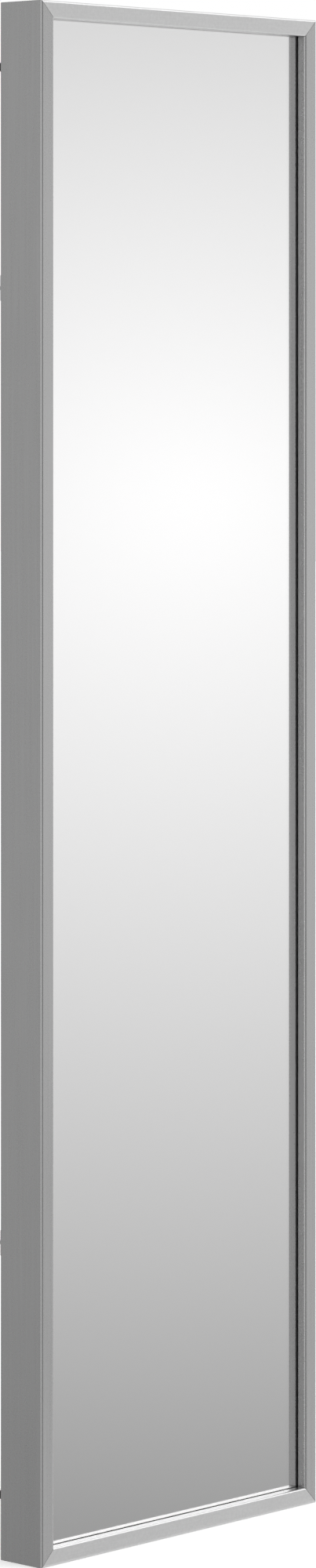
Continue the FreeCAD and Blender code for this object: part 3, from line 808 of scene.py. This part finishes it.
@dataclass
class MirrorFrame(Assembly):
    """The four mitred rails, all of one profile, with their corner keys."""

    mitre_gap: float = 0.22 * MM
    face: float = 17 * MM
    wall: float = 1.8 * MM
    lip: float = 9.5 * MM
    front_slot: float = 5.2 * MM
    rib_front: float = 21.9 * MM
    rib_reach: float = 4.7 * MM
    rear: float = 14 * MM
    channel: float = 4.4 * MM
    slot: float = 6 * MM
    depth: float = 55 * MM
    front_radius: float = 2 * MM
    small_radius: float = 0.25 * MM
    hold: float = 0.05 * MM
    front_corners: int = 2
    front_steps: int = 10
    small_steps: int = 4

    def build(self) -> None:
        """Make one object for each rail, all from the same tree, and dress the keys."""
        tree = SectionTree()
        for side in Side:
            node = side.node("rail")
            low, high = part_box(node)
            size = high - low
            x = low.x if side in (Side.LEFT, Side.TOP) else high.x
            z = low.z if side in (Side.LEFT, Side.BOTTOM) else high.z
            rail = tree.apply(
                f"{node}_satin",
                self.profile(),
                length=size.z if side.upright else size.x,
                slope=1.0,
                gap=self.mitre_gap,
                turn=(0.0, math.radians(side.value), 0.0),
                place=(x, low.y, z),
                # Upright rails take the darker colour, which is painted shade on the same metal.
                finish=self.finishes.side_rail if side.upright else self.finishes.cross_rail,
            )
            stand_for(rail, node)
        for name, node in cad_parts.items():
            if name.endswith("corner_key"):
                dress(node, self.finishes.key_steel)

    def profile(self) -> Mesh:
        """The rails' profile.

        Returns:
            Its outline, from the outer front edge round to the outer rear edge.
        """
        wall = self.wall
        inside = self.face - wall
        flange = wall + self.front_slot
        flange_front = self.lip - wall
        rib_back = self.rib_front + wall
        rib_edge = wall + self.rib_reach
        rear_lip = self.depth - wall
        channel_front = rear_lip - self.channel
        floor = channel_front - wall
        rear_inside = self.rear - wall
        slot_start = (self.rear - self.slot) / 2
        slot_end = slot_start + self.slot
        corners = [
            (0, 0), (self.face, 0), (self.face, self.lip), (flange, self.lip), (flange, flange_front),
            (inside, flange_front), (inside, wall), (wall, wall), (wall, self.rib_front),
            (rib_edge, self.rib_front), (rib_edge, rib_back), (wall, rib_back), (wall, floor),
            (self.rear, floor), (self.rear, self.depth), (slot_end, self.depth), (slot_end, rear_lip),
            (rear_inside, rear_lip), (rear_inside, channel_front), (wall, channel_front),
            (wall, rear_lip), (slot_start, rear_lip), (slot_start, self.depth), (0, self.depth),
        ]
        others = len(corners) - self.front_corners
        radii = [self.front_radius] * self.front_corners + [self.small_radius] * others
        steps = [self.front_steps] * self.front_corners + [self.small_steps] * others
        return outline_mesh(corners, radii, steps, self.hold)


@dataclass
class MirrorPane(Assembly):
    """The glass with its silvering, and everything that beds and backs it."""

    backing_gap: float = 0.04 * MM
    arris: float = 0.5 * MM
    rear_facing: float = 0.99

    def build(self) -> None:
        """Make the pane and dress the rest."""
        self.make_pane()
        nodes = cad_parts
        dress(nodes["silver_backing"], self.finishes.backing)
        dress(nodes["backing_board"], self.finishes.board)
        for side in Side:
            # The dark tape at the sides is painted shade, and the pale tape at top and bottom is painted
            # light.
            tape = self.finishes.side_tape_painted_shade if side.upright else self.finishes.cross_tape_painted_light
            dress(nodes[side.node("glazing_tape")], tape)
            if side.upright:
                dress(nodes[side.node("setting_block")], self.finishes.block)

    def make_pane(self) -> None:
        """Make a slab of glass whose rear face has its second material, the silvering."""
        low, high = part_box("mirror_glass")
        size = high - low
        size.y -= self.backing_gap
        shape = bmesh.new()
        bmesh.ops.create_cube(shape, size=1.0)
        bmesh.ops.scale(shape, vec=size, verts=shape.verts)
        bmesh.ops.translate(shape, vec=low + size / 2, verts=shape.verts)
        bmesh.ops.bevel(
            shape, geom=shape.edges[:], offset=self.arris, segments=1, affect="EDGES", clamp_overlap=True
        )
        for face in shape.faces:
            face.material_index = int(face.normal.y > self.rear_facing)
        mesh = plain_mesh("mirror_pane", shape)
        for layer in (self.finishes.glass, self.finishes.silver):
            mesh.materials.append(layer)
        stand_for(link_object("mirror_pane", mesh), "mirror_glass")


@dataclass
class BoardClips(Assembly):
    """Bowed spring strips that press the backing board forward."""

    foot: float = 6 * MM
    slope: float = 18 * MM
    belly: float = 12 * MM
    height: float = 5.5 * MM
    strip: float = 0.5 * MM
    width: float = 8 * MM
    bend: float = 12 * MM
    edge: float = 0.08 * MM
    bend_steps: int = 5
    edge_steps: int = 2
    side_count: int = 5
    cross_count: int = 2

    def build(self) -> None:
        """Copy one clip along each rail."""
        length = 2 * (self.foot + self.slope) + self.belly
        pattern = self.make_pattern(length)
        for side in Side:
            node = side.node("board_clips")
            low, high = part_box(node)
            along = UP if side.upright else ACROSS
            count = self.side_count if side.upright else self.cross_count
            pitch = (high[along] - low[along] - length) / (count - 1)
            spots = []
            for index in range(count):
                spot = (low + high) / 2
                spot.y = low.y
                spot[along] = low[along] + length / 2 + index * pitch
                spots.append(tuple(spot))
            turn = (0.0, -QUARTER_TURN if side.upright else 0.0, 0.0)
            clips = self.repeat.copies(f"{node}_bowed", pattern, spots, self.finishes.spring_steel, turn)
            stand_for(clips, node)

    def make_pattern(self, length: float) -> Mesh:
        """Make one clip.

        Args:
            length: Its length.

        Returns:
            The clip along X, with its middle at the origin and its belly in front.
        """
        belly_start = self.foot + self.slope
        front = [(0, self.height - self.strip), (self.foot, self.height - self.strip), (belly_start, 0)]
        front += [(length - x, y) for x, y in reversed(front)]
        rear = [(x, y + self.strip) for x, y in reversed(front)]
        between = len(front) - 2
        bends = [self.edge, *[self.bend] * between, self.edge]
        steps = [self.edge_steps, *[self.bend_steps] * between, self.edge_steps]
        outline = outline_mesh(front + rear, bends * 2, steps * 2)
        return SectionTree().shape(
            "clip_pattern", outline, length=self.width,
            place=(-length / 2, 0.0, -self.width / 2), finish=self.finishes.spring_steel,
        )


@dataclass
class Fixings(Assembly):
    """The screws and nuts, each kind copied from one turned or cut pattern."""

    slot_inset: float = 7 * MM
    bar_screw: tuple[Turn, ...] = (
        Turn(-7.2 * MM, 2.1 * MM), Turn(-6.8 * MM, 2.5 * MM), Turn(0.0, 2.5 * MM),
        Turn(0.0, hexagon=4.6 * MM), Turn(2.2 * MM, hexagon=4.6 * MM), Turn(2.6 * MM, 3.7 * MM),
    )
    set_screw: tuple[Turn, ...] = (
        Turn(0.0, 1.5 * MM), Turn(0.5 * MM, 2 * MM), Turn(4.8 * MM, 2 * MM), Turn(5.1 * MM, 1.7 * MM),
        Turn(5.1 * MM, hexagon=1.2 * MM), Turn(3.4 * MM, hexagon=1.2 * MM),
    )
    set_screw_place: float = 29 * MM
    hanger_screw: tuple[Turn, ...] = (
        Turn(-6 * MM, 1.3 * MM), Turn(-5.6 * MM, 1.7 * MM), Turn(0.0, 1.7 * MM), Turn(0.0, 3.3 * MM),
        *rounded_rim(3.3 * MM, 1.6 * MM, 1.3 * MM), Turn(1.6 * MM, hexagon=1.15 * MM),
        Turn(0.6 * MM, hexagon=1.15 * MM),
    )
    nut_width: float = 9.6 * MM
    nut_length: float = 14 * MM
    nut_thickness: float = 2.5 * MM
    nut_edge: float = 0.5 * MM
    nut_steps: int = 2

    def build(self) -> None:
        """Make every kind."""
        low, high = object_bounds()
        bars = [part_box(name) for name in ("hanging_bar", "stiffener_bar")]
        columns = (low.x + self.slot_inset, high.x - self.slot_inset)
        ends = [(x, (bottom.z + top.z) / 2) for bottom, top in bars for x in columns]
        seat = bars[0][1].y
        nut_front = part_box("bar_channel_nuts")[0].y
        for node, way, pattern, spots in (
            ("bar_screws", "turned", turned_mesh(self.bar_screw), [(x, seat, z) for x, z in ends]),
            ("bar_channel_nuts", "cut", self.nut_pattern(), [(x, nut_front, z) for x, z in ends]),
            ("rear_key_set_screws", "turned", turned_mesh(self.set_screw), self.key_spots(low, high)),
            ("hanger_screws", "turned", turned_mesh(self.hanger_screw), self.hanger_spots()),
        ):
            copies = self.repeat.copies(f"{node}_{way}", pattern, spots, self.finishes.screw_steel)
            stand_for(copies, node)

    def key_spots(self, low: Vector, high: Vector) -> list[Spot]:
        """Where the set screws stand.

        Args:
            low: The mirror's lower corner.
            high: Its upper corner.

        Returns:
            One place on each arm of each rear corner key.
        """
        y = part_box("rear_key_set_screws")[0].y
        near, far = self.slot_inset, self.set_screw_place
        spots = []
        for x, inward in ((low.x, 1.0), (high.x, -1.0)):
            for z, upward in ((low.z, 1.0), (high.z, -1.0)):
                spots.append((x + inward * near, y, z + upward * far))
                spots.append((x + inward * far, y, z + upward * near))
        return spots

    def hanger_spots(self) -> list[Spot]:
        """Where the hanger screws stand.

        Returns:
            The middle of each strap's round end.
        """
        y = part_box("hanger_screws")[0].y - self.hanger_screw[0].height
        straps = [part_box(side.node("hanger_strap")) for side in (Side.LEFT, Side.RIGHT)]
        return [((low.x + high.x) / 2, y, low.z + (high.x - low.x) / 2) for low, high in straps]

    def nut_pattern(self) -> Mesh:
        """Make one channel nut.

        Returns:
            The nut, its long side upright, centred on the screw and standing on Y = 0.
        """
        half = self.nut_width / 2
        corners = [(-half, 0.0), (half, 0.0), (half, self.nut_thickness), (-half, self.nut_thickness)]
        count = len(corners)
        outline = outline_mesh(corners, [self.nut_edge] * count, [self.nut_steps] * count)
        return SectionTree().shape(
            "nut_pattern", outline, length=self.nut_length,
            place=(0.0, 0.0, -self.nut_length / 2), finish=self.finishes.screw_steel,
        )


@dataclass
class Hangers(Assembly):
    """The two D rings that swing in their curled straps, and the bars that carry them."""

    wire: float = 1.2 * MM
    corner: float = 2 * MM
    spans: int = 24
    strap: float = 1 * MM
    strap_end: float = 4.5 * MM
    wire_room: float = 0.08 * MM
    curl: float = 285.0
    curl_steps: int = 24
    end_steps: int = 12
    corner_steps: int = 6
    bow_steps: int = 16

    def build(self) -> None:
        """Make the rings and straps and dress the bars."""
        for name in ("hanging_bar", "stiffener_bar"):
            dress(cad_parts[name], self.finishes.bar_steel)
        wire = WireTree()
        for side in (Side.LEFT, Side.RIGHT):
            self.make_strap(side)
            self.make_ring(side, wire)

    def make_strap(self, side: Side) -> None:
        """Make one strap: a plate with a round end that curls round the ring's bar.

        Args:
            side: Which strap.
        """
        node = side.node("hanger_strap")
        low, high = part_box(node)
        half = (high.x - low.x) / 2
        middle = self.strap / 2
        curl_radius = self.wire + self.wire_room + middle
        plate = high.z - low.z - curl_radius - middle
        path, halves = [], []
        for step in range(self.end_steps + 1):
            angle = QUARTER_TURN * step / self.end_steps
            path.append((self.strap_end * (1 - math.cos(angle)), middle))
            halves.append(half - self.strap_end * (1 - math.sin(angle)))
        for step in range(self.curl_steps + 1):
            angle = math.radians(self.curl) * step / self.curl_steps
            rise = curl_radius * math.sin(angle)
            path.append((plate + rise, middle + curl_radius * (1 - math.cos(angle))))
            halves.append(half)
        pattern = ribbon_mesh(path, halves, self.strap)
        spot = ((low.x + high.x) / 2, low.y, low.z)
        strap = self.repeat.copies(f"{node}_curled", pattern, [spot], self.finishes.nickel)
        stand_for(strap, node)

    def make_ring(self, side: Side, wire: WireTree) -> None:
        """Make one closed ring: a straight bar, two tight corners and a bow.

        Args:
            side: Which ring.
            wire: The tree that sweeps the wire.
        """
        node = side.node("hanger_ring")
        low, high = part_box(node)
        half = (high.x - low.x) / 2 - self.wire
        drop = high.z - low.z - 2 * self.wire
        corners = [(-half, 0.0), (half, 0.0), (half, -drop), (-half, -drop)]
        radii = [self.corner, self.corner, half, half]
        steps = [self.corner_steps, self.corner_steps, self.bow_steps, self.bow_steps]
        ring = wire.apply(
            f"{node}_wire",
            outline_mesh(corners, radii, steps),
            radius=self.wire,
            spans=self.spans,
            turn=(QUARTER_TURN, 0.0, 0.0),
            place=((low.x + high.x) / 2, (low.y + high.y) / 2, high.z - self.wire),
            finish=self.finishes.nickel,
        )
        stand_for(ring, node, side.node("ring"))


@dataclass
class Bumpers(Assembly):
    """Rubber buffers with rounded heads."""

    stem: float = 2.8 * MM
    stem_length: float = 5 * MM
    stem_point: float = 0.5 * MM
    head: float = 6 * MM
    rounding: float = 2.6 * MM
    rim_steps: int = 8

    def build(self) -> None:
        """Copy one bumper to each corner."""
        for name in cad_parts:
            if name.endswith("wall_bumper"):
                low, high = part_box(name)
                pattern = turned_mesh(self.turns(high.y - low.y))
                spot = ((low.x + high.x) / 2, low.y, (low.z + high.z) / 2)
                bumper = self.repeat.copies(f"{name}_turned", pattern, [spot], self.finishes.bumper)
                stand_for(bumper, name)

    def turns(self, length: float) -> list[Turn]:
        """The bumper's rings.

        Args:
            length: Its whole length.

        Returns:
            The rings, from the stem's tip to the head's top.
        """
        return [
            Turn(0.0, self.stem - self.stem_point),
            Turn(self.stem_point, self.stem),
            Turn(self.stem_length, self.stem),
            Turn(self.stem_length, self.head),
            *rounded_rim(self.head, length, self.rounding, self.rim_steps),
        ]


# Studio


@dataclass(frozen=True)
class Lamp:
    """A square area lamp that faces a point."""

    name: str
    place: Spot
    target: Spot
    size: float
    power: float


@dataclass
class Studio:
    """The floor, the world, the lamps and the camera."""

    camera_place: Spot = (-3.7918, -3.4997, 1.1441)
    camera_heading: Spot = (0.7345, 0.6786, 0.0)
    # Of the photograph, in pixels
    photo_height: float = 2000.0
    focal_length: float = 6661.7
    horizon_row: float = 474.5
    # In millimetres, as Blender takes it
    sensor: float = 36.0
    view_depth: float = 100.0
    floor_colour: Colour = (0.82, 0.82, 0.82)
    floor_size: float = 40.0
    floor_lift: float = 0.3
    far_lift: float = 0.5
    lift_start: float = 1.2
    lift_span: float = 2.0
    # Bearings round the mirror, each with the studio's brightness there; all angles are in degrees
    low_ring: Ring = (
        (-180, 0.3), (-137, 0.35), (-100, 0.1), (-60, 0.6), (-42, 0.8), (-25, 1.1), (0, 0.6), (43, 0.45),
        (90, 0.1), (137, 0.1), (180, 0.3),
    )
    middle_ring: Ring = (
        (-180, 0.85), (-160, 1.0), (-137, 0.32), (-115, 0.31), (-65, 0.39), (-54, 0.05), (-47, 0.33),
        (-38, 0.33), (-32, 0.85), (-10, 0.6), (43, 0.7), (90, 0.7), (125, 0.52), (150, 0.38),
        (165, 0.86), (180, 0.85),
    )
    high_ring: Ring = (
        (-180, 0.4), (-137, 0.45), (-90, 0.3), (-62, 0.6), (-50, 2.0), (-40, 2.0), (-31, 1.0), (-17, 1.2),
        (0, 0.75), (43, 0.7), (90, 0.7), (137, 0.4), (180, 0.4),
    )
    high_start: float = 13.4
    low_start: float = 13.0
    fade: float = 3.0
    ground_brightness: float = 0.7
    ground_start: float = 26.0
    ground_fade: float = 8.0
    glow_bearing: float = -42.32
    glow_rise: float = -1.42
    glow_width: float = 0.8
    glow_round: float = 0.25
    glow_peak: float = 1.051
    glow_fall: float = 0.0637
    lamps: tuple[Lamp, ...] = (
        Lamp("overhead_lamp", (0.6, -1.6, 3.4), (0.0, 0.0, 0.6), size=2.4, power=70.0),
        Lamp("rear_lamp", (-1.4, 2.6, 2.4), (0.0, 0.0, 0.8), size=1.8, power=35.0),
    )

    def build(self) -> None:
        """Make everything around the mirror."""
        self.make_floor()
        self.make_world()
        self.make_lamps()
        self.make_camera()

    def make_floor(self) -> None:
        """A pale floor that keeps the mirror's shadow and turns white for the camera further away."""
        mesh = bpy.data.meshes.new("floor")
        half = self.floor_size / 2
        corners = [(-half, -half, 0), (half, -half, 0), (half, half, 0), (-half, half, 0)]
        mesh.from_pydata(corners, [], [(0, 1, 2, 3)])
        tree = ShaderTree("pale_floor")
        paint = tree.out("ShaderNodeBsdfDiffuse", Color=(*self.floor_colour, 1.0))
        away = tree.out("ShaderNodeVectorMath", "Value", {"operation": "LENGTH"}, i0=tree.place)
        share = ((away - self.lift_start) / self.lift_span).limited()
        lift = self.floor_lift + self.far_lift * share
        glow = tree.out("ShaderNodeEmission", Color=WHITE, Strength=lift)
        lifted = tree.out("ShaderNodeAddShader", i0=paint, i1=glow)
        rays = tree.node("ShaderNodeLightPath")
        seen = Signal(tree, rays.outputs["Is Camera Ray"])
        mesh.materials.append(tree.shown(tree.out("ShaderNodeMixShader", i0=seen, i1=paint, i2=lifted)))
        floor = link_object("floor", mesh)
        floor.visible_glossy = False
        floor.visible_transmission = False
        floor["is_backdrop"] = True

    def make_world(self) -> None:
        """White behind the mirror for the camera, and softly shaded surroundings for every other ray."""
        world = bpy.data.worlds.new("studio")
        bpy.context.scene.world = world
        world.use_nodes = True
        world.node_tree.nodes.clear()
        tree = NodeTree(world.node_tree)
        rays = tree.node("ShaderNodeLightPath")
        seen = Signal(tree, rays.outputs["Is Camera Ray"])
        room = tree.out("ShaderNodeBackground", Color=self.surroundings(tree), Strength=1.0)
        white = tree.out("ShaderNodeBackground", Color=WHITE, Strength=1.0)
        shown = tree.out("ShaderNodeMixShader", i0=seen, i1=room, i2=white)
        tree.node("ShaderNodeOutputWorld", Surface=shown)

    def surroundings(self, tree: NodeTree) -> Signal:
        """Brightness of the studio in every direction.

        Args:
            tree: The world's nodes.

        Returns:
            The brightness: walls that vary round the horizon, a band above and one below them, a
            pale floor further down, and the glowing backdrop that the mirror shows, which fades
            away from its middle.
        """
        direction = tree.out("ShaderNodeTexCoord", "Generated")
        parts = tree.node("ShaderNodeSeparateXYZ", Vector=direction)
        across, deep, height = (Signal(tree, parts.outputs[letter]) for letter in "XYZ")
        bearing = tree.maths("ARCTAN2", deep, across) * (HALF_TURN_DEGREES / math.pi)
        rise = tree.maths("ARCSINE", height) * (HALF_TURN_DEGREES / math.pi)
        low, middle, high = (
            self.ring(tree, bearing, stops) for stops in (self.low_ring, self.middle_ring, self.high_ring)
        )
        upward = ((rise - self.high_start) / self.fade).limited()
        downward = ((-1.0 * rise - self.low_start) / self.fade).limited()
        ground = ((-1.0 * rise - self.ground_start) / self.ground_fade).limited()
        below = low * (1.0 - ground) + self.ground_brightness * ground
        room = middle * (1.0 - upward) * (1.0 - downward) + high * upward + below * downward
        sideways = (bearing - self.glow_bearing) * self.glow_width
        off = tree.maths("SQRT", sideways * sideways + (rise - self.glow_rise) ** 2.0 + self.glow_round)
        glow = self.glow_peak - self.glow_fall * off
        return tree.maths("MAXIMUM", room, glow)

    def ring(self, tree: NodeTree, bearing: Signal, stops: Ring) -> Signal:
        """Brightness round one ring of the surroundings.

        Args:
            tree: The world's nodes.
            bearing: The direction round the horizon, in degrees.
            stops: Bearings, each with its brightness.

        Returns:
            The brightness, blended between the stops.
        """
        top = max(brightness for _bearing, brightness in stops)
        half, full = HALF_TURN_DEGREES, FULL_TURN_DEGREES
        shares = [((place + half) / full, brightness / top) for place, brightness in stops]
        ramp = tree.out("ShaderNodeValToRGB", settings={"stops": shares}, Fac=(bearing + half) / full)
        return ramp * top

    def make_lamps(self) -> None:
        """Large soft lamps; they light what is dull and cast the shadow, and no metal mirrors them."""
        for lamp in self.lamps:
            data = bpy.data.lights.new(lamp.name, "AREA")
            data.size = lamp.size
            data.energy = lamp.power
            made = link_object(lamp.name, data)
            made.location = lamp.place
            facing = Vector(lamp.target) - Vector(lamp.place)
            made.rotation_euler = facing.to_track_quat("-Z", "Y").to_euler()
            made.visible_glossy = False

    def make_camera(self) -> None:
        """The camera at the photograph's place; its sensor's width is the frame's long side."""
        data = bpy.data.cameras.new("camera")
        data.sensor_width = self.sensor
        data.lens = self.sensor * (self.focal_length / self.photo_height)
        data.shift_y = (self.horizon_row - self.photo_height / 2) / self.photo_height
        data.clip_end = self.view_depth
        camera = link_object("camera", data)
        camera.location = self.camera_place
        camera.rotation_euler = Vector(self.camera_heading).to_track_quat("-Z", "Y").to_euler()
        bpy.context.scene.camera = camera


def main() -> None:
    """Build the mirror's looks, then the studio."""
    logging.basicConfig(level=logging.INFO)
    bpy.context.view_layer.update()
    shared = (Finishes(), RepeatTree())
    for assembly in (MirrorFrame, MirrorPane, BoardClips, Fixings, Hangers, Bumpers):
        assembly(*shared).build()
    Studio().build()
    bpy.context.scene.view_settings.view_transform = "Standard"


if __name__ == "__main__":
    main()
